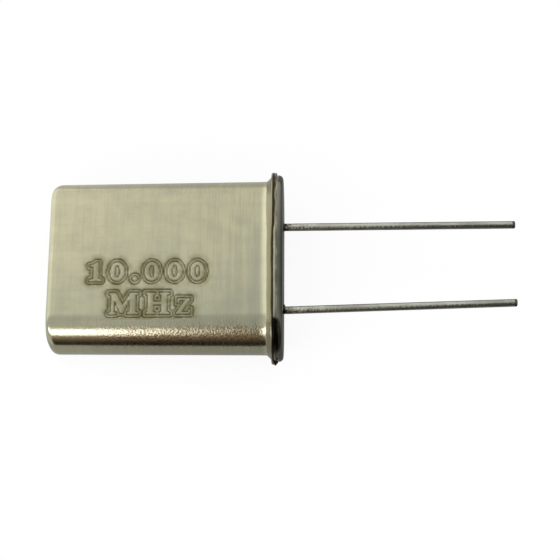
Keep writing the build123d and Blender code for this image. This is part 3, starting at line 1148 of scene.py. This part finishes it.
class CRYSTAL_OT_stage(bpy.types.Operator):
    """White floor and surroundings, the soft box and the camera"""
    bl_idname = "crystal.stage"
    bl_label = "Stage"

    def execute(self, context):
        stage = context.scene.crystal_stage
        context.scene.view_settings.view_transform = "Standard"
        self.floor(stage)
        self.surroundings(context.scene)
        self.soft_box(stage)
        self.camera(context.scene, stage)
        return {"FINISHED"}

    def floor(self, stage):
        """White to the eye. Metal sees it dimmer, with painted shade darkest below the leads and painted light
        past the closed end.
        """
        low, high = cad_box
        front = low[1] - stage.floor_front
        back = high[1] + stage.floor_back
        middle = (0, (front + back) / 2, 0)
        floor = add_primitive("floor", bpy.ops.mesh.primitive_plane_add, size=1, location=middle)
        bpy.ops.transform.resize(value=(2 * stage.floor_back, back - front, 1))
        bpy.ops.object.transform_apply(location=True, rotation=True, scale=True)
        material = new_material("floor_white")
        tree = material.node_tree
        tree.nodes.remove(tree.nodes["Principled BSDF"])
        eye, metal = light_paths(tree)
        x, y, _ = coordinates(tree, "Object").split()
        # What metal sees of the floor is painted: lower in front, where the part's shadow would lie, darkest
        # below the leads as painted shade, and brighter towards and past the closed end as painted light from
        # the soft box.
        dim = y.ramp(-6 * MM, 6 * MM, 0.31, 0.48) * x.ramp(-5 * MM, -13 * MM, 1.0, 1.15)
        dim = dim * x.ramp(-14.2 * MM, -17 * MM, 1.0, 1.9) * x.ramp(-0.5 * MM, 0.4 * MM, 1.0, 0.21)
        matte = add_node(tree, "ShaderNodeBsdfDiffuse", Color=(0.14, 0.14, 0.14))
        glow = add_node(tree, "ShaderNodeEmission", Color=(1, 1, 1), Strength=eye * 0.88 + metal * dim)
        both = add_node(tree, "ShaderNodeAddShader")
        for socket, shader in zip(both.inputs, (matte, glow)):
            fill(socket, Output(shader.outputs[0]))
        fill(tree.nodes["Material Output"].inputs["Surface"], Output(both.outputs[0]))
        floor.data.materials.append(material)

    def surroundings(self, scene):
        """White to the eye. Metal sees a pale room, dim above, and a dark front below the soft box."""
        world = bpy.data.worlds.new("pale_room")
        scene.world = world
        world.use_nodes = True
        tree = world.node_tree
        x, y, z = coordinates(tree, "Generated").split()
        ahead = y * -1.0
        from_zenith = maths("ARCTAN2", ahead, z)
        level = maths("SQRT", x * x + y * y)

        def sky(start, end):
            return from_zenith.ramp(radians(start), radians(end))

        pale = x.ramp(-0.2, -0.36).blend((1, 1, 1), (1.3, 1.3, 1.3))
        pale = x.ramp(-0.25, 0.15).blend(pale, (0.7, 0.71, 0.72))
        pale = sky(-27, 4).blend(pale, (0.57, 0.58, 0.59))
        pale = x.ramp(0.35, 0.85).blend(pale, (0.36, 0.36, 0.36))
        pale = (x.ramp(-0.11, -0.16) * sky(-10, 6)).blend(pale, (0.71, 0.71, 0.71))
        dark = sky(36, 66).blend((0.6, 0.53, 0.48), (0.36, 0.25, 0.18))
        dark = sky(66, 97).blend(dark, (0.03, 0.024, 0.018))
        dark = x.ramp(-0.05, 0.04, 0.0, 0.95).blend(dark, (0.05, 0.05, 0.04))
        ahead_share = maths("DIVIDE", ahead, maths("MAXIMUM", level, 0.01))
        lower = from_zenith + x.ramp(-0.03, 0.03, 0.0, radians(30))
        in_front = ahead_share.ramp(0.05, 0.35) * x.ramp(-0.5, -0.3) * lower.ramp(radians(29), radians(45))
        eye, metal = light_paths(tree)
        lit = metal.blend((0.85, 0.85, 0.85), in_front.blend(pale, dark))
        fill(tree.nodes["Background"].inputs["Color"], eye.blend(lit, (1, 1, 1)))

    def soft_box(self, stage):
        """Soft box low in front and to the left, dimmer and warmer to its right, where the highlight ends."""
        width = 1.6 * stage.key_distance
        height = 0.46 * stage.key_distance
        tilt = radians(53)
        edge = -0.005
        rise = 0.04 * stage.key_distance
        centre = Vector((edge - width / 2, rise * cos(tilt) - sin(tilt) * stage.key_distance,
                         rise * sin(tilt) + cos(tilt) * stage.key_distance))
        bpy.ops.object.select_all(action="DESELECT")
        bpy.ops.object.light_add(type="AREA", location=centre, rotation=(tilt, 0, 0))
        lamp = bpy.context.object
        lamp.name = "soft_box"
        lamp.data.shape = "RECTANGLE"
        lamp.data.size = width
        lamp.data.size_y = height
        lamp.data.energy = stage.key_radiance * pi * width * height
        lamp.data.color = (0.86, 0.88, 1.0)
        lamp.visible_camera = False
        lamp.data.use_nodes = True
        tree = lamp.data.node_tree
        x, y, _ = Output(add_node(tree, "ShaderNodeNewGeometry").outputs["Parametric"]).split()
        emission = tree.nodes["Emission"].inputs
        fill(emission["Color"], x.ramp(0.84, 0.94).blend((1, 1, 1), (1, 0.9, 0.74)))
        fill(emission["Strength"], x.ramp(0.963, 0.815) * y.ramp(1.0, 0.65) * y.ramp(-0.05, 0.24))

    def camera(self, scene, stage):
        turn = seat_turn.to_4x4() @ Euler(stage.camera_turn).to_matrix().to_4x4()
        place = Matrix.Translation(seat_place @ Vector(stage.camera_place))
        bpy.ops.object.camera_add()
        camera = bpy.context.object
        camera.matrix_world = place @ turn
        camera.data.lens = stage.camera_lens
        camera.data.sensor_width = 36
        camera.data.clip_start = MM
        camera.data.clip_end = 10
        scene.camera = camera


OPERATORS = (
    CRYSTAL_OT_can,
    CRYSTAL_OT_base,
    CRYSTAL_OT_weld,
    CRYSTAL_OT_leads,
    CRYSTAL_OT_seals,
    CRYSTAL_OT_inside,
    CRYSTAL_OT_stage,
)


class CRYSTAL_PT_dressing(bpy.types.Panel):
    """Sizes, finishes and building steps of the crystal"""
    bl_label = "Crystal resonator"
    bl_idname = "CRYSTAL_PT_dressing"
    bl_space_type = "VIEW_3D"
    bl_region_type = "UI"
    bl_category = "Crystal"

    def draw(self, context):
        for operator in OPERATORS:
            self.layout.operator(operator.bl_idname)
        for name in GROUPS:
            group = getattr(context.scene, name)
            box = self.layout.box()
            box.label(text=name.replace("crystal_", "").title())
            for key in group.bl_rna.properties.keys():
                if key not in ("name", "rna_type"):
                    box.prop(group, key)


CLASSES = (*GROUPS.values(), *OPERATORS, CRYSTAL_PT_dressing)


def register():
    for cls in CLASSES:
        bpy.utils.register_class(cls)
    for name, group in GROUPS.items():
        setattr(bpy.types.Scene, name, PointerProperty(type=group))


def unregister():
    for name in GROUPS:
        delattr(bpy.types.Scene, name)
    for cls in reversed(CLASSES):
        bpy.utils.unregister_class(cls)


def main():
    register()
    bpy.ops.crystal.can()
    bpy.ops.crystal.base()
    bpy.ops.crystal.weld()
    bpy.ops.crystal.leads()
    bpy.ops.crystal.seals()
    bpy.ops.crystal.inside()
    bpy.ops.crystal.stage()


if __name__ == "__main__":
    main()
